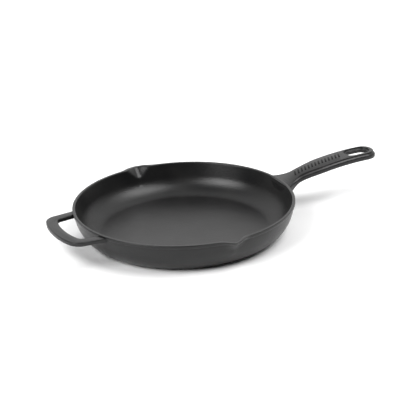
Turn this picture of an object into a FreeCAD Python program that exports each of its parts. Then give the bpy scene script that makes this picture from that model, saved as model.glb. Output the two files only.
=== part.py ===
"""Cast iron skillet with two pouring spouts, a long handle and a helper handle.

Millimetres. The origin is on the pan's axis at the bottom face, +Z up, and +X points along the long
handle. The skillet is one casting; each named region of it is a closed solid that meets its neighbours
face to face.
"""

import FreeCAD, Part
import math
import os
import re
import Sketcher

# Driving dimensions: name, value, meaning. Lengths in millimetres, angles in degrees.
SIZES = [
    ("rim_radius", 152.5, "outside of the rim bead"),
    ("pan_height", 45.5, "bottom face to rim"),
    ("rim_land", 3.9, "width of the flat rim"),
    ("rim_edge", 0.9, "rounding of the rim's edges"),
    ("bead_height", 4.5, "depth of the bead under the rim"),
    ("bead_stand_out", 2.3, "bead beyond the outer wall"),
    ("wall_flare", 17, "lean of the inner wall from upright"),
    ("wall_radius", 45, "curve of the outer wall, upright under the bead"),
    ("base_edge", 1.2, "height of the base's edge"),
    ("base_edge_width", 2.6, "width of the base's edge"),
    ("base_edge_radius", 3.6, "rounding of the base's edge"),
    ("floor_thickness", 5, "cooking floor"),
    ("cove_radius", 31, "turn from the floor to the inner wall"),
    ("spout_reach", 11, "spout tip beyond the rim"),
    ("spout_width", 54, "spout along the rim"),
    ("spout_depth", 17, "outer ridge below the rim"),
    ("spout_tip_radius", 7, "rounding of the spout's tip"),
    ("spout_lip", 4.2, "thickness of the spout's lip"),
    ("spout_channel_width", 42, "channel along the inner edge of the rim"),
    ("spout_channel_depth", 13, "channel below the rim"),
    ("spout_channel_radius", 4, "rounding of the channel's bottom"),
    ("spout_dip", 1.6, "dip of the rim along the spout"),
    ("spout_dip_radius", 34, "curve of that dip"),
    ("spout_region_depth", 22, "height of the spout's region of the casting"),
    ("handle_length", 147, "long handle beyond the rim"),
    ("handle_rise", 18.9, "crown of the handle above the rim"),
    ("handle_crown_to_tip", 23, "crown to the handle's tip"),
    ("handle_arch_radius", 430, "arch of the handle's top, seen from the side"),
    ("handle_thickness", 10.2, "top to underside"),
    ("handle_step", 2.5, "raised panel above the side ledges"),
    ("handle_ledge", 2.4, "side ledge beyond the raised panel"),
    ("handle_root_drop", 1.2, "panel below the rim where it starts"),
    ("handle_root_run", 11.5, "hollow of the top at the root"),
    ("handle_root_hollow", 70, "radius of that hollow"),
    ("handle_web_drop", 16, "root of the underside below the rim"),
    ("handle_web_radius", 24, "underside fillet at the root"),
    ("handle_root_width", 54, "panel at the rim"),
    ("handle_root_radius", 27, "plan fillet at the root"),
    ("handle_neck_from_rim", 22, "narrowest place beyond the rim"),
    ("handle_neck_width", 23.2, "panel at the neck"),
    ("handle_grip_width", 29.6, "panel along the grip"),
    ("handle_grip_from_rim", 62, "where the grip reaches its full width"),
    ("handle_swell_radius", 260, "swell from the neck to the grip"),
    ("handle_end_run", 19, "length of the rounded end"),
    ("handle_end_radius", 17.5, "rounding of the end, each side"),
    ("slot_width", 17, "hanging slot"),
    ("slot_length", 32, "hanging slot"),
    ("slot_end_radius", 8.8, "rounded ends of the slot"),
    ("slot_to_tip", 11, "end of the slot to the handle's tip"),
    ("slot_border", 3.4, "sunk border around the slot"),
    ("slot_border_depth", 2.5, "border below the raised panel"),
    ("helper_reach", 41.5, "helper handle beyond the rim"),
    ("helper_drop", 2, "top of the helper handle below the rim"),
    ("helper_thickness", 6.2, "top to underside"),
    ("helper_width", 103, "across the corners of the loop"),
    ("helper_root_width", 113, "across the loop where it leaves the wall"),
    ("helper_bar", 12.5, "side bars of the loop"),
    ("helper_grip", 16.5, "outer bar of the loop"),
    ("helper_corner_radius", 18, "outer corners of the loop"),
    ("helper_gap_corner_radius", 8, "corners of the finger gap"),
    ("helper_bow_radius", 118, "bow of the outer bar"),
    ("helper_edge", 1.6, "rounding of the loop's edges"),
]

doc = FreeCAD.newDocument("skillet")


def make_sheet():
    """Put every driving dimension in the spreadsheet under its name."""
    table = doc.addObject("Spreadsheet::Sheet", "sizes")
    for row, (name, value, meaning) in enumerate(SIZES, start=1):
        table.set(f"A{row}", str(value))
        table.set(f"B{row}", meaning)
        table.setAlias(f"A{row}", name)
    doc.recompute()
    return table


sizes = make_sheet()
SIZE_NAMES = re.compile(r"\b(" + "|".join(name for name, _, _ in SIZES) + r")\b")


def bound(rule):
    """The rule as an expression that other objects can read from the sheet."""
    return SIZE_NAMES.sub(r"sizes.\1", rule)


def worth(rule):
    """The rule's value in millimetres or degrees."""
    result = sizes.evalExpression(rule)
    return float(getattr(result, "Value", result))


def origin_plane(body, role):
    return next(item for item in body.Origin.OriginFeatures if item.Role == role)


def arc_centre(start, end, radius):
    """Centre of the arc that runs counter-clockwise from start to end with a positive radius."""
    chord = end - start
    half = chord.Length / 2
    rise = math.sqrt(max(radius * radius - half * half, 0))
    side = FreeCAD.Vector(-chord.y, chord.x, 0).normalize()
    return start + chord / 2 + side * rise


def add_arc(sketch, start, end, radius_rule):
    """A minor arc from start to end; a leading minus turns it clockwise."""
    clockwise = radius_rule.startswith("-")
    size_rule = radius_rule.lstrip("-")
    radius = worth(size_rule)
    first, last = (end, start) if clockwise else (start, end)
    centre = arc_centre(first, last, radius)
    angles = [math.atan2(p.y - centre.y, p.x - centre.x) for p in (first, last)]
    circle = Part.Circle(centre, FreeCAD.Vector(0, 0, 1), radius)
    index = sketch.addGeometry(Part.ArcOfCircle(circle, angles[0], angles[1]), False)
    rule = sketch.addConstraint(Sketcher.Constraint("Radius", index, radius))
    sketch.setExpression(f"Constraints[{rule}]", bound(size_rule))
    return index, (2, 1) if clockwise else (1, 2)


def draw(sketch, corners):
    """Draw one closed outline. A corner is (x rule, y rule) or (x rule, y rule, radius rule), where the
    radius belongs to the edge that leaves that corner."""
    points = [FreeCAD.Vector(worth(corner[0]), worth(corner[1]), 0) for corner in corners]
    drawn = []
    for number, corner in enumerate(corners):
        start = points[number]
        end = points[(number + 1) % len(points)]
        if len(corner) == 3:
            drawn.append(add_arc(sketch, start, end, corner[2]))
        else:
            drawn.append((sketch.addGeometry(Part.LineSegment(start, end), False), (1, 2)))
    for number, corner in enumerate(corners):
        edge, (head, _) = drawn[number]
        before, (_, tail) = drawn[number - 1]
        sketch.addConstraint(Sketcher.Constraint("Coincident", before, tail, edge, head))
        for kind, rule, value in (("DistanceX", corner[0], points[number].x),
                                  ("DistanceY", corner[1], points[number].y)):
            index = sketch.addConstraint(Sketcher.Constraint(kind, -1, 1, edge, head, value))
            sketch.setExpression(f"Constraints[{index}]", bound(rule))


def add_sketch(body, name, plane, outlines, level="0"):
    """A sketch of closed outlines on an origin plane of the body, raised to a level along its normal."""
    sketch = body.newObject("Sketcher::SketchObject", name)
    sketch.AttachmentSupport = [(origin_plane(body, plane), "")]
    sketch.MapMode = "FlatFace"
    sketch.setExpression("AttachmentOffset.Base.z", bound(level))
    for corners in outlines:
        draw(sketch, corners)
    doc.recompute()
    return sketch


def mirrored(half):
    """Close an outline about the x axis from its upper half, given from one end to the other. Arcs of
    the half keep their radius and their sense of turn in the mirror image."""
    image = []
    for number in range(len(half) - 1, 0, -1):
        x_rule, y_rule = half[number][:2]
        arc = half[number - 1][2:]
        image.append((x_rule, f"-({y_rule})") + arc)
    if worth(half[0][1]) > 0:
        image.append((half[0][0], f"-({half[0][1]})"))
    last = half[-1]
    if worth(last[1]) > 0:
        return half + image
    return half[:-1] + [last[:2] + image[0][2:]] + image[1:]


# Places on the pan's profile, as rules over the sizes.
INNER_RIM = "(rim_radius - rim_land)"
WALL_TOP = "(rim_radius - bead_stand_out)"
BEAD_FOOT = "(pan_height - bead_height)"
WALL_FOOT = f"({WALL_TOP} - wall_radius + sqrt(wall_radius^2 - ({BEAD_FOOT} - base_edge)^2))"
INNER_TOP = "(pan_height - rim_edge)"
FLOOR_CORNER = f"({INNER_RIM} - ({INNER_TOP} - floor_thickness) * tan(wall_flare))"
COVE_RUN = "(cove_radius * tan(45 - wall_flare / 2))"
FLOOR_RADIUS = f"({FLOOR_CORNER} - {COVE_RUN})"
SPOUT_TIP = "(rim_radius + spout_reach)"
RIM_OUTSIDE = [
    ("0", "0"),
    (f"{WALL_FOOT} - base_edge_width", "0", "base_edge_radius"),
    (WALL_FOOT, "base_edge", "wall_radius"),
    (WALL_TOP, BEAD_FOOT),
    ("rim_radius - rim_edge", BEAD_FOOT, "rim_edge"),
    ("rim_radius", f"{BEAD_FOOT} + rim_edge"),
    ("rim_radius", "pan_height - rim_edge", "rim_edge"),
    ("rim_radius - rim_edge", "pan_height"),
]
RIM_INSIDE = [
    (f"{INNER_RIM} + rim_edge", "pan_height", "rim_edge"),
    (INNER_RIM, INNER_TOP),
    (f"{FLOOR_CORNER} + {COVE_RUN} * sin(wall_flare)", f"floor_thickness + {COVE_RUN} * cos(wall_flare)",
     "-cove_radius"),
    (FLOOR_RADIUS, "floor_thickness"),
    ("0", "floor_thickness"),
]


def revolve(body, name, outlines):
    sketch = add_sketch(body, name + "_section", "XZ_Plane", outlines)
    turned = body.newObject("PartDesign::Revolution", name)
    turned.Profile = sketch
    turned.ReferenceAxis = (sketch, ["V_Axis"])
    turned.Angle = 360
    doc.recompute()
    return turned


def spout_section(side, width, tip, tip_radius, back):
    """A V in plan, its rounded tip pointing along +Y or -Y."""
    shoulder = f"({tip_radius} / 2)"
    shoulder_y = f"({tip} - {tip_radius} + sqrt({tip_radius}^2 - {shoulder}^2))"
    turn = tip_radius if side == "1" else f"-{tip_radius}"
    return [
        (f"{width} / 2", f"{side} * {back}"),
        (shoulder, f"{side} * {shoulder_y}", turn),
        (f"-{shoulder}", f"{side} * {shoulder_y}"),
        (f"-{width} / 2", f"{side} * {back}"),
    ]


def loft(name, top, bottom, depth):
    """A solid that narrows from an outline at the rim to a smaller one below it."""
    body = doc.addObject("PartDesign::Body", name)
    upper = add_sketch(body, name + "_at_rim", "XY_Plane", [top], "pan_height")
    lower = add_sketch(body, name + "_at_foot", "XY_Plane", [bottom], f"pan_height - {depth}")
    shape = body.newObject("PartDesign::AdditiveLoft", name + "_loft")
    shape.Profile = upper
    shape.Sections = [lower]
    shape.Ruled = True
    doc.recompute()
    return body


def wall_at(depth):
    """Outer face of the wall at a depth below the rim."""
    return f"({WALL_TOP} - wall_radius + sqrt(wall_radius^2 - ({depth} - bead_height)^2))"


def inner_wall_at(depth):
    return f"({INNER_RIM} - ({depth} - rim_edge) * tan(wall_flare))"


def make_lip(name, side):
    """The V-shaped lip that stands outside the wall."""
    back = f"({WALL_TOP} - spout_lip)"
    foot = wall_at("spout_depth")
    return loft(name,
                spout_section(side, "spout_width", SPOUT_TIP, "spout_tip_radius", back),
                spout_section(side, "2 * spout_tip_radius", foot, "spout_tip_radius", f"({foot} - 2)"),
                "spout_depth")


def make_channel(name, side):
    """The V-shaped channel that the liquid runs along."""
    back = f"({INNER_RIM} - 2 * spout_lip)"
    foot = inner_wall_at("spout_channel_depth")
    tip = f"({SPOUT_TIP} - spout_lip)"
    return loft(name,
                spout_section(side, "spout_channel_width", tip, "spout_channel_radius", back),
                spout_section(side, "2 * spout_channel_radius", foot, "spout_channel_radius", f"({foot} - 2)"),
                "spout_channel_depth")


def make_dip():
    """A round bar along Y that sinks the rim a little along both spouts."""
    bar = doc.addObject("Part::Cylinder", "rim_dip")
    bar.setExpression("Radius", bound("spout_dip_radius"))
    bar.setExpression("Height", bound(f"2 * {SPOUT_TIP} + 2 * spout_reach"))
    bar.Placement.Rotation = FreeCAD.Rotation(FreeCAD.Vector(1, 0, 0), -90)
    bar.setExpression("Placement.Base.y", bound(f"-({SPOUT_TIP} + spout_reach)"))
    bar.setExpression("Placement.Base.z", bound("pan_height - spout_dip + spout_dip_radius"))
    return bar


def make_pan():
    """The whole bowl with its rim and both spouts, later divided into regions."""
    body = doc.addObject("PartDesign::Body", "bowl_wall")
    revolve(body, "bowl_turned", [RIM_OUTSIDE + RIM_INSIDE])
    lips = [make_lip("front_lip", "-1"), make_lip("rear_lip", "1")]
    channels = [make_channel("front_channel", "-1"), make_channel("rear_channel", "1")]
    raised = unite("bowl_with_lips", [body] + lips)
    return combine("Part::Cut", "bowl", raised, unite("both_channels", channels + [make_dip()]))


def make_envelope():
    """The filled pan, raised past the handles, which the handles are cut by."""
    body = doc.addObject("PartDesign::Body", "envelope")
    outside = RIM_OUTSIDE[:-2] + [("rim_radius", "pan_height + handle_rise"), ("0", "pan_height + handle_rise")]
    revolve(body, "filled_pan", [outside])
    return body


def make_region(name, side):
    """The block that holds one spout, down to the region's depth."""
    block = doc.addObject("Part::Box", name)
    rules = {
        "Length": "spout_width + 2 * spout_lip",
        "Width": "spout_reach + rim_land + 8 * spout_lip",
        "Height": "spout_region_depth + spout_lip",
        "Placement.Base.x": "-(spout_width / 2 + spout_lip)",
        "Placement.Base.z": "pan_height - spout_region_depth",
        "Placement.Base.y": f"{SPOUT_TIP} + spout_lip - (spout_reach + rim_land + 8 * spout_lip)",
    }
    if side == "-1":
        rules["Placement.Base.y"] = f"-({SPOUT_TIP} + spout_lip)"
    for what, rule in rules.items():
        block.setExpression(what, bound(rule))
    return block


def combine(kind, name, base, tool):
    shape = doc.addObject(kind, name)
    shape.Base = base
    shape.Tool = tool
    shape.Label = name
    doc.recompute()
    return shape


def unite(name, shapes):
    fused = doc.addObject("Part::MultiFuse", name)
    fused.Shapes = shapes
    doc.recompute()
    return fused


def slab(body, name, side_outline, plan_outline):
    """Push a side view through the body's width, then trim it to its plan view."""
    width = "4 * handle_root_width"
    side = add_sketch(body, name + "_side", "XZ_Plane", [side_outline])
    pad = body.newObject("PartDesign::Pad", name + "_slab")
    pad.Profile = side
    pad.SideType = "Symmetric"
    pad.setExpression("Length", bound(width))
    doc.recompute()
    far = "(rim_radius + 2 * handle_length)"
    frame = [(far, width), ("0", width), ("0", f"-{width}"), (far, f"-{width}")]
    plan = add_sketch(body, name + "_plan", "XY_Plane", [frame, plan_outline])
    trim = body.newObject("PartDesign::Pocket", name + "_trim")
    trim.Profile = plan
    trim.SideType = "Symmetric"
    trim.setExpression("Length", bound("8 * pan_height"))
    doc.recompute()
    return trim


def lies_on(edge, heights):
    """Whether every end of the edge is at one of the heights that hold at its x."""
    ends = [vertex.Point for vertex in edge.Vertexes]
    near = [min(abs(point.z - height) for height in heights(point.x)) < 0.01 for point in ends]
    return all(near) and abs(ends[0].z - ends[-1].z) < worth("handle_thickness")


def fillet(body, name, feature, edges, radius):
    """Round the edges of a feature that the test picks."""
    picked = [f"Edge{number}" for number, edge in enumerate(feature.Shape.Edges, 1) if edges(edge)]
    rounded = body.newObject("PartDesign::Fillet", name)
    rounded.Base = (feature, picked)
    rounded.setExpression("Radius", bound(radius))
    doc.recompute()
    return rounded


CROWN_X = "(rim_radius + handle_length - handle_crown_to_tip)"
CROWN_Z = "(pan_height + handle_rise)"
TIP_X = "(rim_radius + handle_length)"
ROOT_X = "(rim_radius + 1)"
INSIDE_X = "(rim_radius - 14)"


def arch(x_rule, drop):
    """Height of the handle's arch at x, a drop below its top."""
    radius = f"(handle_arch_radius - {drop})"
    return f"({CROWN_Z} - handle_arch_radius + sqrt({radius}^2 - ({x_rule} - {CROWN_X})^2))"


def handle_side(top_drop, bottom_drop, tip, underside):
    """Side view of one layer of the handle."""
    rise_x = f"({ROOT_X} + handle_root_run)"
    root_z = f"(pan_height - handle_root_drop - {top_drop})"
    top = f"handle_arch_radius - {top_drop}"
    bottom = f"handle_arch_radius - {bottom_drop}"
    return [
        (INSIDE_X, underside),
        (ROOT_X, underside, "-handle_web_radius"),
        (f"{rise_x} + handle_root_run", arch(f"({rise_x} + handle_root_run)", bottom_drop), f"-{bottom}"),
        (tip, arch(tip, bottom_drop)),
        (tip, arch(tip, top_drop), top),
        (rise_x, arch(rise_x, top_drop), "-handle_root_hollow"),
        (ROOT_X, root_z),
        (INSIDE_X, root_z),
    ]


def handle_plan(extra):
    """Plan view of one layer of the handle, wider than the raised panel by extra on each side."""
    root = f"(handle_root_width / 2 + {extra})"
    neck = f"(handle_neck_width / 2 + {extra})"
    grip = f"(handle_grip_width / 2 + {extra})"
    end_x = f"({TIP_X} - handle_ledge - handle_end_run)"
    half = [
        (f"{TIP_X} - handle_ledge + {extra}", "0", f"handle_end_radius + {extra}"),
        (end_x, grip),
        ("rim_radius + handle_grip_from_rim", grip, "handle_swell_radius"),
        ("rim_radius + handle_neck_from_rim", neck, f"-(handle_root_radius - {extra})"),
        ("rim_radius - 2", root),
        (INSIDE_X, root),
    ]
    return mirrored(half)


def make_handle_layers():
    """The ledge layer of the long handle and the raised panel on it."""
    ledge = doc.addObject("PartDesign::Body", "handle_ledges")
    slab(ledge, "ledge", handle_side("handle_step", "handle_thickness", f"({TIP_X} + 5)",
                                            "pan_height - handle_web_drop"), handle_plan("handle_ledge"))
    panel = doc.addObject("PartDesign::Body", "handle_panel")
    slab(panel, "panel", handle_side("0", "(handle_step + 1)", f"({TIP_X} + 5)",
                                     "pan_height - handle_root_drop - handle_step - 1"), handle_plan("0"))
    return ledge, panel


def make_slot(name, extra, level):
    """The hanging slot, wider by extra on every side, as a solid that reaches up from a level."""
    body = doc.addObject("PartDesign::Body", name)
    half = f"(slot_width / 2 + {extra})"
    end_radius = f"(slot_end_radius + {extra})"
    end_run = bow_depth(end_radius, half)
    far = f"({TIP_X} - slot_to_tip + {extra} - {end_run})"
    near = f"({TIP_X} - slot_to_tip - slot_length - {extra} + {end_run})"
    sketch = add_sketch(body, name + "_plan", "XY_Plane", [[
        (far, f"-{half}", end_radius), (far, half),
        (near, half, end_radius), (near, f"-{half}")]], level)
    pad = body.newObject("PartDesign::Pad", name + "_through")
    pad.Profile = sketch
    pad.setExpression("Length", bound("2 * pan_height + 2 * handle_rise"))
    doc.recompute()
    return body


def bow_depth(radius, half_width):
    """How far an arc of that radius rises over half its chord."""
    return f"({radius} - sqrt({radius}^2 - {half_width}^2))"


def make_helper():
    """The helper handle's loop, before it is cut back to the wall."""
    body = doc.addObject("PartDesign::Body", "helper_loop")
    tip = "-(rim_radius + helper_reach)"
    bow = bow_depth("helper_bow_radius", "(helper_width / 2 - helper_corner_radius)")
    inner_bow = "(helper_bow_radius - helper_grip)"
    gap_half = "(helper_width / 2 - helper_bar)"
    gap_bow = bow_depth(inner_bow, f"({gap_half} - helper_gap_corner_radius)")
    outer = mirrored([
        ("-(rim_radius - 20)", "helper_root_width / 2"),
        (f"{tip} + {bow} + helper_corner_radius", "helper_width / 2", "helper_corner_radius"),
        (f"{tip} + {bow}", "helper_width / 2 - helper_corner_radius", "helper_bow_radius"),
        (tip, "0"),
    ])
    gap_tip = f"({tip} + helper_grip)"
    gap = mirrored([
        ("-(rim_radius - 20)", "helper_root_width / 2 - helper_bar"),
        (f"{gap_tip} + {gap_bow} + helper_gap_corner_radius", gap_half, "helper_gap_corner_radius"),
        (f"{gap_tip} + {gap_bow}", f"{gap_half} - helper_gap_corner_radius", inner_bow),
        (gap_tip, "0"),
    ])
    sketch = add_sketch(body, "helper_plan", "XY_Plane", [outer], "pan_height - helper_drop - helper_thickness")
    pad = body.newObject("PartDesign::Pad", "helper_slab")
    pad.Profile = sketch
    pad.setExpression("Length", bound("helper_thickness"))
    doc.recompute()
    opening = add_sketch(body, "gap_plan", "XY_Plane", [gap], "pan_height")
    pocket = body.newObject("PartDesign::Pocket", "finger_gap")
    pocket.Profile = opening
    pocket.setExpression("Length", bound("pan_height"))
    doc.recompute()
    faces = (worth("pan_height - helper_drop"), worth("pan_height - helper_drop - helper_thickness"))
    fillet(body, "helper_rounding", pocket, lambda edge: lies_on(edge, lambda x: faces), "helper_edge")
    return body


def sub_part(kind, name, base, tool):
    """A region of the casting, which is exported under its name."""
    shape = combine(kind, name, base, tool)
    SUB_PARTS.append(shape)
    return shape


def make_regions(pan):
    """Divide the bowl into its floor, its wall and its two spouts."""
    disc = doc.addObject("Part::Cylinder", "floor_region")
    disc.setExpression("Radius", bound(FLOOR_RADIUS))
    disc.setExpression("Height", bound("pan_height"))
    front = make_region("front_region", "-1")
    rear = make_region("rear_region", "1")
    sub_part("Part::Common", "cooking_floor", pan, disc)
    sub_part("Part::Cut", "side_wall", pan, unite("other_regions", [disc, front, rear]))
    sub_part("Part::Common", "front_pour_spout", pan, front)
    sub_part("Part::Common", "rear_pour_spout", pan, rear)


def make_handles(envelope):
    """Cut both handles back to the outside of the wall."""
    layers = unite("handle_layers", list(make_handle_layers()))
    openings = [make_slot("slot", "0", "0"),
                make_slot("slot_recess", "slot_border", f"{CROWN_Z} - slot_border_depth")]
    slotted = combine("Part::Cut", "slotted_handle", layers, unite("slot_openings", openings))
    sub_part("Part::Cut", "long_handle", slotted, envelope)
    sub_part("Part::Cut", "helper_handle", make_helper(), envelope)


def check_everything():
    """Stop if any object failed to build or any sub-part isn't one valid solid."""
    doc.recompute()
    for item in doc.Objects:
        if {"Invalid", "Error"} & set(item.State):
            raise RuntimeError(f"{item.Name} failed: {item.State}")
    for item in SUB_PARTS:
        if item.Shape.isNull() or not item.Shape.isValid() or len(item.Shape.Solids) != 1:
            raise RuntimeError(f"{item.Label} is not one valid solid")


def export():
    os.makedirs("parts", exist_ok=True)
    for item in SUB_PARTS:
        item.Shape.exportStep(f"parts/{item.Label}.step")
        print(item.Label, round(item.Shape.Volume))


SUB_PARTS = []
make_regions(make_pan())
make_handles(make_envelope())
check_everything()
export()
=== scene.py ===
import math

import bmesh
import bpy
from mathutils import Matrix, Vector


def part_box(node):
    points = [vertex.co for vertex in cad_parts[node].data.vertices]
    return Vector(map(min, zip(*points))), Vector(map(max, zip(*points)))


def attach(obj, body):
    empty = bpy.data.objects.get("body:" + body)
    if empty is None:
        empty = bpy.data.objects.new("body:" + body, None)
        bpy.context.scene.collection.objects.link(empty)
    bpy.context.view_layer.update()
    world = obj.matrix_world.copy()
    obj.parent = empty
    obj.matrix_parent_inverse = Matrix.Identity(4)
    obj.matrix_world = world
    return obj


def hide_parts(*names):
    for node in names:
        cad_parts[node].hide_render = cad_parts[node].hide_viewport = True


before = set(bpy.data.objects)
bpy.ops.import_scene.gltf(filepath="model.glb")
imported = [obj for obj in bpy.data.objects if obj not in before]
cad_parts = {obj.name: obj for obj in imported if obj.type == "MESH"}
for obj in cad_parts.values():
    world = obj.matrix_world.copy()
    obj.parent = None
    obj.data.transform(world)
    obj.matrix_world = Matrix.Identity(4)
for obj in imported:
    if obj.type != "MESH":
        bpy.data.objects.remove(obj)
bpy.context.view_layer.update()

MM = 0.001
TOUCH = 1e-6

# The pan, in metres, from the frame.
WALL_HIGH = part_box("side_wall")[1]
HANDLE_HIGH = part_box("long_handle")[1]
HELPER_LOW, HELPER_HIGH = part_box("helper_handle")
RIM_RADIUS = WALL_HIGH.x
PAN_HEIGHT = WALL_HIGH.z
FLOOR_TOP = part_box("cooking_floor")[1].z
SPOUT_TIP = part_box("rear_pour_spout")[1].y

# The pan's section: the rim with its bead, the leaning inner wall, and the knee low on the outer wall.
RIM_LAND = 3.9 * MM
BEAD_HEIGHT = 4.5 * MM
BEAD_STAND_OUT = 2.3 * MM
BEAD_EDGE = 1.1 * MM
OUTER_RIM_EDGE = 1.0 * MM
INNER_RIM_EDGE = 0.9 * MM
FLARE = math.radians(17)
FOOT_SLOPE = math.radians(27.8)
KNEE_HEIGHT = 13.9 * MM
KNEE_RADIUS = 43 * MM
BASE_EDGE = 4 * MM
COVE_RADIUS = 31 * MM
INNER_RIM = RIM_RADIUS - RIM_LAND
WALL_TOP = RIM_RADIUS - BEAD_STAND_OUT

# How finely the bowl is divided: around it, up its walls and across its floors.
TURNS = 720
LONG_EDGE = 8 * MM
WALL_STEP = 2.2 * MM
FLOOR_STEP = 14 * MM

# The part of the wall that the spouts may shape, and how far its outside leans in for each unit of depth.
SPOUT_REGION_RADIUS = 125 * MM
SPOUT_REGION_HALF = 50 * MM
SPOUT_REGION_DEPTH = 24 * MM
OUTER_LEAN = 0.1

# A spout's V outside and its channel inside: where each fades out below the rim, its half width along the
# rim, the half width of its rounded valley and the fillet at its edges.
LIP_DEPTH = 14.5 * MM
LIP_HALF_WIDTH = 24 * MM
LIP_FLAT = 2 * MM
LIP_BLEND = 3 * MM
CHANNEL_DEPTH = 13.5 * MM
CHANNEL_HALF_WIDTH = 18 * MM
CHANNEL_FLAT = 2.6 * MM
CHANNEL_BLEND = 1.2 * MM
LIP = 4.4 * MM

# The dip of the rim at a spout, and how far down it is felt.
DIP = 1.5 * MM
DIP_HALF_WIDTH = 15 * MM
DIP_DEPTH = 14 * MM

# The long handle: its arch, and its root inside the wall.
CROWN_X = HANDLE_HIGH.x - 23 * MM
CROWN_Z = HANDLE_HIGH.z
ARCH_RADIUS = 430 * MM
ROOT_X = RIM_RADIUS - 3.4 * MM
ARCH_START = ROOT_X + 36 * MM
ROOT_DROP = 0.7 * MM
ROOT_RISE = 0.10
ROOT_INSET = 3.3 * MM
ROOT_LEAN = 0.12
ROOT_WRAP = 20 * MM

# Its thickness, which grows towards the wall. Only what lies deeper than DETAIL is stretched with it.
HANDLE_THICKNESS = 10.2 * MM
ROOT_THICKENING = 8.5 * MM
ROOT_THICKENING_RUN = 26 * MM
ROOT_CURVE = 1.8
DETAIL = 3.6 * MM

# Its plan: wide at the root, narrow at the neck, full at the grip and rounded at the end.
RIB = 2.4 * MM
NECK_X = RIM_RADIUS + 22 * MM
GRIP_X = RIM_RADIUS + 62 * MM
ROOT_HALF = 27 * MM
NECK_HALF = 11.6 * MM
GRIP_HALF = 14.8 * MM
END_RUN = 16 * MM
END_FULLNESS = 0.8
END_STEPS = 24
END_X = HANDLE_HIGH.x - RIB - END_RUN
STATIONS = [ROOT_X + (END_X - ROOT_X) * step / 60 for step in range(60)]
END_STATIONS = [STATIONS[-1] + step * 1.5 * MM for step in range(1, 12)]

# Its side from the hollow underside up to the panel, and its slot from the panel down, both in millimetres.
# Each point is how far it stands outside the panel's edge or the slot's, and its height against the panel.
RIB_FOOT = [(-2.4, -7.6), (-1.6, -7.75), (-0.9, -8.5), (-0.2, -9.7), (0.6, -10.15), (1.5, -9.9), (2.2, -8.9)]
SIDE_RIB = [(2.4, -7.2), (2.4, -5.4), (2.2, -4.5), (1.8, -3.8), (1.3, -3.2), (0.7, -2.7), (0.3, -2.45)]
PANEL_STEP = [(0.05, -2.1), (0.0, -0.7), (-0.2, -0.2), (-0.7, 0.0)]
SUNK_BORDER = [(3.6, 0.0), (3.35, -0.3), (3.2, -1.2), (3.0, -1.9), (2.4, -2.3), (1.2, -2.5)]
SLOT_EDGE = [(0.5, -2.8), (0.1, -3.3), (0.0, -4.0)]
SLOT_FOOT = [(0.0, -6.2), (0.4, -7.1), (1.2, -7.6)]

# The hanging slot.
SLOT_HALF = 8.5 * MM
SLOT_END_STEPS = 20
SLOT_FAR = HANDLE_HIGH.x - 11 * MM
SLOT_NEAR = SLOT_FAR - 32 * MM

# The ornament on the grip.
BARS = 14
BAR_START = RIM_RADIUS + 21 * MM
BAR_PITCH = 5.4 * MM
BAR_SIZE = (11 * MM, 2.3 * MM, 1.9 * MM)
BAR_LEAN = math.radians(68)
BAR_SINK = 0.4 * MM
BAR_EDGE = 0.25 * MM

# The helper handle: a loop whose outer bar bows outwards to a soft point.
HELPER_ROOT = RIM_RADIUS - 3.9 * MM
HELPER_BOW = math.tan(math.radians(16.5))
HELPER_APEX = HELPER_LOW.x - 5 * MM
HELPER_HALF = 51.5 * MM
HELPER_GRIP = 16.5 * MM
HELPER_ARM = 12.5 * MM
HELPER_GAP_HALF = HELPER_HALF - HELPER_ARM
ARM_OUTSIDE = 56 * MM
ARM_INSIDE = 43 * MM
HELPER_EDGE = 1.5 * MM


def finish_mesh(name, bm, smooth_angle=40):
    """Turn a bmesh into an object whose faces are smooth except at sharp edges."""
    bmesh.ops.recalc_face_normals(bm, faces=bm.faces)
    mesh = bpy.data.meshes.new(name)
    bm.to_mesh(mesh)
    bm.free()
    piece = bpy.data.objects.new(name, mesh)
    bpy.context.scene.collection.objects.link(piece)
    mesh.shade_smooth()
    mesh.set_sharp_from_angle(angle=math.radians(smooth_angle))
    return piece


def rounded_outline(bm, corners):
    """An outline in the XZ plane. Each corner is (x, z, radius, segments)."""
    verts = [bm.verts.new((x, 0, z)) for x, z, _, _ in corners]
    bm.faces.new(verts)
    for number, (x, z, radius, segments) in enumerate(corners):
        if radius == 0:
            continue
        here = Vector((x, z))
        before = Vector(corners[number - 1][:2]) - here
        after = Vector(corners[(number + 1) % len(corners)][:2]) - here
        turn = math.pi - before.angle(after)
        bmesh.ops.bevel(bm, geom=[verts[number]], offset=radius * math.tan(turn / 2), offset_type="OFFSET",
                        segments=segments, profile=0.5, affect="VERTICES", clamp_overlap=False, material=-1)


def soft_step(share):
    """From 0 to 1, level at both ends."""
    return share * share * (3 - 2 * share)


# The bowl.

def pan_corners():
    """The bowl's section, from the middle of the base around the rim to the middle of the floor."""
    bead_foot = PAN_HEIGHT - BEAD_HEIGHT
    base_x = WALL_TOP - KNEE_HEIGHT / math.tan(FOOT_SLOPE)
    cove_x = INNER_RIM - (PAN_HEIGHT - FLOOR_TOP) * math.tan(FLARE)
    return [
        (0, 0, 0, 0),
        (base_x, 0, BASE_EDGE, 4),
        (WALL_TOP, KNEE_HEIGHT, KNEE_RADIUS, 18),
        (WALL_TOP, bead_foot, BEAD_EDGE, 4),
        (RIM_RADIUS, bead_foot, BEAD_EDGE, 4),
        (RIM_RADIUS, PAN_HEIGHT, OUTER_RIM_EDGE, 4),
        (INNER_RIM, PAN_HEIGHT, INNER_RIM_EDGE, 4),
        (cove_x, FLOOR_TOP, COVE_RADIUS, 20),
        (0, FLOOR_TOP, 0, 0),
    ]


def soft_max(a, b, blend):
    """The larger of two lengths, with a fillet where they meet."""
    gap = max(blend - abs(a - b), 0) / blend
    return max(a, b) + gap * gap * blend / 4


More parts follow.
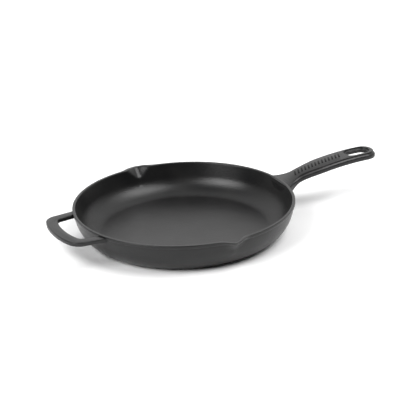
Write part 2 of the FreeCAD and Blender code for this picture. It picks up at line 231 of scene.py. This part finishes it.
def spout_push(across, depth, reach, reach_depth, half_width, flat, blend):
    """How far a spout's V stands beyond the wall, from the place across it and the depth below the rim."""
    ridge = reach * max(1 - depth / reach_depth, 0)
    run = soft_max(across - flat, 0, blend)
    return soft_max(ridge - run * reach / (half_width - flat), 0, blend) - soft_max(-reach, 0, blend)


def shape_spouts(bm):
    """Push the wall out into a V at each side, and let its lip dip a little."""
    for vert in bm.verts:
        radius = math.hypot(vert.co.x, vert.co.y)
        depth = PAN_HEIGHT - vert.co.z
        if radius < SPOUT_REGION_RADIUS or depth > SPOUT_REGION_DEPTH or abs(vert.co.x) > SPOUT_REGION_HALF:
            continue
        inner = INNER_RIM - depth * math.tan(FLARE)
        outer = WALL_TOP - max(depth - BEAD_HEIGHT, 0) * OUTER_LEAN
        share = min(max((radius - inner) / (outer - inner), 0), 1)
        across = radius * math.atan2(abs(vert.co.x), abs(vert.co.y))
        outside = spout_push(across, depth, SPOUT_TIP - RIM_RADIUS, LIP_DEPTH, LIP_HALF_WIDTH, LIP_FLAT,
                             LIP_BLEND)
        inside = spout_push(across, depth, SPOUT_TIP - LIP - INNER_RIM, CHANNEL_DEPTH, CHANNEL_HALF_WIDTH,
                            CHANNEL_FLAT, CHANNEL_BLEND)
        vert.co.y += math.copysign(share * outside + (1 - share) * inside, vert.co.y)
        fade = max(1 - (across / DIP_HALF_WIDTH) ** 2, 0) ** 2 * max(1 - depth / DIP_DEPTH, 0)
        vert.co.z -= DIP * fade


def on_axis(edge):
    return all(abs(vert.co.x) < TOUCH for vert in edge.verts)


def make_bowl():
    """The floor, the wall and both spouts: the section turned once around, then shaped at the spouts."""
    bm = bmesh.new()
    rounded_outline(bm, pan_corners())
    for edge in [e for e in bm.edges if e.calc_length() > LONG_EDGE and not on_axis(e)]:
        climbs = max(vert.co.z for vert in edge.verts) > FLOOR_TOP + MM
        cuts = int(edge.calc_length() / (WALL_STEP if climbs else FLOOR_STEP))
        bmesh.ops.subdivide_edges(bm, edges=[edge], cuts=cuts)
    bmesh.ops.delete(bm, geom=list(bm.faces), context="FACES_ONLY")
    bmesh.ops.delete(bm, geom=[e for e in bm.edges if on_axis(e)], context="EDGES")
    bmesh.ops.spin(bm, geom=list(bm.verts) + list(bm.edges), cent=(0, 0, 0), axis=(0, 0, 1), dvec=(0, 0, 0),
                   angle=2 * math.pi, steps=TURNS, use_merge=True)
    bmesh.ops.remove_doubles(bm, verts=bm.verts, dist=TOUCH)
    shape_spouts(bm)
    return finish_mesh("bowl_casting", bm, 50)


# The long handle.

def arch(x):
    """Height of the handle's top on its main arch."""
    return CROWN_Z - ARCH_RADIUS + math.sqrt(ARCH_RADIUS ** 2 - (x - CROWN_X) ** 2)


def top_height(x):
    """Height of the raised panel: an S from the rim up to the arch."""
    if x > ARCH_START:
        return arch(x)
    run = ARCH_START - ROOT_X
    share = (x - ROOT_X) / run
    slope = (CROWN_X - ARCH_START) / ARCH_RADIUS * run
    low = PAN_HEIGHT - ROOT_DROP
    high = arch(ARCH_START)
    bend = ROOT_RISE * run * share * (1 - share) ** 2 - slope * share ** 2 * (1 - share)
    return low + (high - low) * soft_step(share) + bend


def handle_depth(x):
    """Top to underside, thicker towards the wall."""
    near_wall = max(1 - (x - ROOT_X) / ROOT_THICKENING_RUN, 0)
    return HANDLE_THICKNESS + ROOT_THICKENING * near_wall ** ROOT_CURVE


def half_width(x):
    """Half the width of the raised panel."""
    if x < NECK_X:
        return NECK_HALF + (ROOT_HALF - NECK_HALF) * ((NECK_X - x) / (NECK_X - ROOT_X)) ** ROOT_CURVE
    share = min((x - NECK_X) / (GRIP_X - NECK_X), 1)
    return NECK_HALF + (GRIP_HALF - NECK_HALF) * soft_step(share)


def handle_loop(extra):
    """Plan outline of the handle, wider than the raised panel by extra, from the root around the tip."""
    half = [(x, half_width(x) + extra) for x in STATIONS]
    for step in range(END_STEPS + 1):
        angle = math.pi / 2 * step / END_STEPS
        half.append((END_X + (END_RUN + extra) * math.sin(angle),
                     (GRIP_HALF + extra) * math.cos(angle) ** END_FULLNESS))
    half[-1] = (half[-1][0], 0)
    return half + [(x, -y) for x, y in reversed(half[:-1])]


def slot_loop(extra):
    """Plan outline of the slot, larger by extra on every side."""
    radius = SLOT_HALF + extra
    points = []
    for centre, start in ((SLOT_FAR - SLOT_HALF, -math.pi / 2), (SLOT_NEAR + SLOT_HALF, math.pi / 2)):
        for step in range(SLOT_END_STEPS + 1):
            angle = start + math.pi * step / SLOT_END_STEPS
            points.append((centre + radius * math.cos(angle), radius * math.sin(angle)))
    return points


def add_ring(bm, points, height):
    """A closed ring of edges at one height."""
    verts = [bm.verts.new((x, y, height)) for x, y in points]
    return [bm.edges.new((verts[number - 1], vert)) for number, vert in enumerate(verts)]


def add_bands(bm, outline, profile):
    """Bands of faces that follow a plan outline along a profile. Returns the first and the last ring."""
    rings = [add_ring(bm, outline(extra * MM), height * MM) for extra, height in profile]
    for ring, following in zip(rings, rings[1:]):
        bmesh.ops.bridge_loops(bm, edges=ring + following)
    return rings[0], rings[-1]


def handle_plate(bm):
    """The handle laid flat: its stepped side, its slot, and the top and underside between them."""
    side = add_bands(bm, handle_loop, RIB_FOOT + SIDE_RIB + PANEL_STEP)
    slot = add_bands(bm, slot_loop, SUNK_BORDER + SLOT_EDGE + SLOT_FOOT)
    bmesh.ops.triangle_fill(bm, edges=side[1] + slot[0], use_beauty=True)
    bmesh.ops.triangle_fill(bm, edges=side[0] + slot[1], use_beauty=True)
    for place in STATIONS[1:] + END_STATIONS:
        everything = list(bm.verts) + list(bm.edges) + list(bm.faces)
        bmesh.ops.bisect_plane(bm, geom=everything, dist=TOUCH, plane_co=(place, 0, 0), plane_no=(1, 0, 0))


def bend_handle(bm):
    """Lift the plate to the handle's arch, thicken it at the root and wrap its end around the wall."""
    for vert in bm.verts:
        x, y, height = vert.co
        below = max(-height - DETAIL, 0) / (HANDLE_THICKNESS - DETAIL)
        z = top_height(x) + max(height, -DETAIL) - below * (handle_depth(x) - DETAIL)
        wall = RIM_RADIUS - ROOT_INSET - ROOT_LEAN * (PAN_HEIGHT - z)
        wrap = (math.sqrt(wall * wall - y * y) - ROOT_X) * max(1 - (x - ROOT_X) / ROOT_WRAP, 0)
        vert.co = (x + wrap, y, z)


def make_long_handle():
    bm = bmesh.new()
    handle_plate(bm)
    bend_handle(bm)
    return finish_mesh("long_handle_casting", bm, 60)


def make_ornament():
    """A row of low slanted bars cast along the middle of the grip, as a plain ornament."""
    bm = bmesh.new()
    for number in range(BARS):
        x = BAR_START + BAR_PITCH * number
        slope = math.atan2(top_height(x + MM) - top_height(x - MM), 2 * MM)
        place = Matrix.Translation((x, 0, top_height(x) - BAR_SINK)) @ Matrix.Rotation(-slope, 4, "Y")
        lean = Matrix.Rotation(BAR_LEAN, 4, "Z")
        bar = bmesh.ops.create_cube(bm, size=1, matrix=place @ lean @ Matrix.Diagonal((*BAR_SIZE, 1)))
        edges = {edge for vert in bar["verts"] for edge in vert.link_edges}
        bmesh.ops.bevel(bm, geom=list(edges), offset=BAR_EDGE, offset_type="OFFSET", segments=2, profile=0.5,
                        affect="EDGES", clamp_overlap=True, material=-1)
    return finish_mesh("handle_ornament", bm, 60)


# The helper handle.

def root_x(across):
    """Where an arm of the loop ends inside the wall, from its place across the pan."""
    return -math.sqrt(HELPER_ROOT ** 2 - across ** 2)


def helper_corners():
    """The loop in plan: around its outside from one arm to the other, then back around the finger gap."""
    inner_apex = HELPER_APEX + HELPER_GRIP
    corner_x = HELPER_APEX + HELPER_HALF * HELPER_BOW
    gap_x = inner_apex + HELPER_GAP_HALF * HELPER_BOW
    return [
        (root_x(ARM_OUTSIDE), ARM_OUTSIDE, 0, 0),
        (corner_x, HELPER_HALF, 18 * MM, 8),
        (HELPER_APEX, 0, 118 * MM, 12),
        (corner_x, -HELPER_HALF, 18 * MM, 8),
        (root_x(ARM_OUTSIDE), -ARM_OUTSIDE, 0, 0),
        (root_x(ARM_INSIDE), -ARM_INSIDE, 0, 0),
        (gap_x, -HELPER_GAP_HALF, 9 * MM, 6),
        (inner_apex, 0, 101 * MM, 10),
        (gap_x, HELPER_GAP_HALF, 9 * MM, 6),
        (root_x(ARM_INSIDE), ARM_INSIDE, 0, 0),
    ]


def make_helper():
    """The loop's plan raised to its thickness and rounded along its edges."""
    thickness = HELPER_HIGH.z - HELPER_LOW.z
    bm = bmesh.new()
    rounded_outline(bm, helper_corners())
    bmesh.ops.rotate(bm, verts=bm.verts, matrix=Matrix.Rotation(math.radians(-90), 3, "X"))
    bmesh.ops.translate(bm, verts=bm.verts, vec=(0, 0, HELPER_LOW.z))
    raised = bmesh.ops.extrude_face_region(bm, geom=list(bm.faces))["geom"]
    top = [item for item in raised if isinstance(item, bmesh.types.BMVert)]
    bmesh.ops.translate(bm, verts=top, vec=(0, 0, thickness))
    level = [e for e in bm.edges if abs(e.verts[0].co.z - e.verts[1].co.z) < TOUCH]
    bmesh.ops.bevel(bm, geom=level, offset=HELPER_EDGE, offset_type="OFFSET", segments=4, profile=0.5,
                    affect="EDGES", clamp_overlap=True, material=-1)
    return finish_mesh("helper_handle_casting", bm, 45)


# The finish.

PEBBLE_SCALE = 480
PATCH_SCALE = 22
DARK_PATCH = (0.0045, 0.0045, 0.0048, 1)
PALE_PATCH = (0.0085, 0.0083, 0.0082, 1)


def add_noise(tree, place, scale, detail):
    node = tree.nodes.new("ShaderNodeTexNoise")
    node.inputs["Scale"].default_value = scale
    node.inputs["Detail"].default_value = detail
    tree.links.new(place.outputs["Object"], node.inputs["Vector"])
    return node.outputs["Fac"]


def map_range(tree, source, low, high, out_low, out_high):
    """A node that turns the range low to high into the range out_low to out_high."""
    node = tree.nodes.new("ShaderNodeMapRange")
    for key, value in (("From Min", low), ("From Max", high), ("To Min", out_low), ("To Max", out_high)):
        node.inputs[key].default_value = value
    tree.links.new(source, node.inputs["Value"])
    return node


def iron(name, roughness, shine):
    """Seasoned cast iron: near black and satin, with the fine pebble of the sand mould."""
    material = bpy.data.materials.new(name)
    material.use_nodes = True
    tree = material.node_tree
    shader = tree.nodes["Principled BSDF"]
    shader.inputs["IOR"].default_value = 1.5
    shader.inputs["Specular IOR Level"].default_value = shine
    place = tree.nodes.new("ShaderNodeTexCoord")
    patches = add_noise(tree, place, PATCH_SCALE, 4)
    pebble = add_noise(tree, place, PEBBLE_SCALE, 3)
    colour = tree.nodes.new("ShaderNodeMix")
    colour.data_type = "RGBA"
    colour.inputs["A"].default_value = DARK_PATCH
    colour.inputs["B"].default_value = PALE_PATCH
    tone = map_range(tree, patches, 0.35, 0.65, 0, 1)
    tree.links.new(tone.outputs["Result"], colour.inputs["Factor"])
    tree.links.new(colour.outputs["Result"], shader.inputs["Base Color"])
    polish = map_range(tree, patches, 0.3, 0.7, roughness - 0.03, roughness + 0.04)
    tree.links.new(polish.outputs["Result"], shader.inputs["Roughness"])
    bump = tree.nodes.new("ShaderNodeBump")
    bump.inputs["Strength"].default_value = 0.7
    bump.inputs["Distance"].default_value = 0.3 * MM
    tree.links.new(pebble, bump.inputs["Height"])
    tree.links.new(bump.outputs["Normal"], shader.inputs["Normal"])
    return material


IRON = iron("seasoned_iron", 0.34, 0.38)
HELPER_IRON = iron("helper_iron", 0.38, 0.42)
ORNAMENT_IRON = iron("ornament_iron", 0.5, 0.12)

# The studio: direction, side length and power of each softbox, and the brightness of what the iron mirrors.
SOFTBOXES = [
    ("softbox_left", (-0.76, -0.18, 0.62), 1.9, 100),
    ("softbox_right", (0.39, -0.38, 0.83), 2.0, 85),
]
SOFTBOX_DISTANCE = 3.2
BACKDROP_SIDE = (0.425, 0.888, 0.174)
BACKDROP = 1.22
STUDIO_DARK = 0.025


def place_camera():
    """The camera looks down at the pan from its front left, turned a little about its own axis."""
    aim = Vector((0.0187, -0.0371, PAN_HEIGHT))
    azimuth, elevation, roll = (math.radians(angle) for angle in (-25.55, 22.47, -2.335))
    distance = 2.8964
    back = Vector((math.sin(azimuth) * math.cos(elevation), -math.cos(azimuth) * math.cos(elevation),
                   math.sin(elevation)))
    level = Vector((0, 0, 1)).cross(back).normalized()
    rise = back.cross(level)
    right = level * math.cos(roll) + rise * math.sin(roll)
    up = back.cross(right)
    data = bpy.data.cameras.new("camera")
    data.sensor_width = 36
    data.lens = 184.94
    data.clip_end = 50
    camera = bpy.data.objects.new("camera", data)
    bpy.context.scene.collection.objects.link(camera)
    turned = Matrix((right, up, back)).transposed().to_4x4()
    camera.matrix_world = Matrix.Translation(aim + back * distance) @ turned
    bpy.context.scene.camera = camera


def add_softbox(name, direction, side, power):
    """A square light that faces the middle of the base."""
    data = bpy.data.lights.new(name, "AREA")
    data.shape = "SQUARE"
    data.size = side
    data.energy = power
    lamp = bpy.data.objects.new(name, data)
    bpy.context.scene.collection.objects.link(lamp)
    lamp.location = Vector(direction) * SOFTBOX_DISTANCE
    lamp.rotation_euler = (-Vector(direction)).to_track_quat("-Z", "Y").to_euler()


def studio_world():
    """A pale backdrop behind the pan that fades to a dark studio in front of it."""
    world = bpy.data.worlds.new("studio")
    world.use_nodes = True
    tree = world.node_tree
    place = tree.nodes.new("ShaderNodeTexCoord")
    facing = tree.nodes.new("ShaderNodeVectorMath")
    facing.operation = "DOT_PRODUCT"
    facing.inputs[1].default_value = BACKDROP_SIDE
    tree.links.new(place.outputs["Generated"], facing.inputs[0])
    fade = map_range(tree, facing.outputs["Value"], -0.15, 0.7, STUDIO_DARK, BACKDROP)
    fade.interpolation_type = "SMOOTHSTEP"
    tree.links.new(fade.outputs["Result"], tree.nodes["Background"].inputs["Strength"])
    tree.nodes["Background"].inputs["Color"].default_value = (1, 1, 1, 1)
    bpy.context.scene.world = world


def make_stage():
    """A plain pale floor under the pan, the backdrop and the softboxes."""
    bm = bmesh.new()
    bmesh.ops.create_grid(bm, x_segments=1, y_segments=1, size=12)
    floor = finish_mesh("floor", bm)
    material = bpy.data.materials.new("pale_floor")
    material.use_nodes = True
    shader = material.node_tree.nodes["Principled BSDF"]
    shader.inputs["Base Color"].default_value = (0.93, 0.93, 0.93, 1)
    shader.inputs["Roughness"].default_value = 0.9
    floor.data.materials.append(material)
    studio_world()
    bpy.context.scene.view_settings.view_transform = "Standard"
    for name, direction, side, power in SOFTBOXES:
        add_softbox(name, direction, side, power)


bowl = make_bowl()
bowl.data.materials.append(IRON)
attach(bowl, "root")
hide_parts("cooking_floor", "side_wall", "front_pour_spout", "rear_pour_spout")

handles = [
    (make_long_handle(), "long_handle", IRON),
    (make_helper(), "helper_handle", HELPER_IRON),
]
for casting, node, finish in handles:
    casting.data.materials.append(finish)
    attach(casting, "root")
    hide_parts(node)

ornament = make_ornament()
ornament.data.materials.append(ORNAMENT_IRON)
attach(ornament, "root")

place_camera()
make_stage()
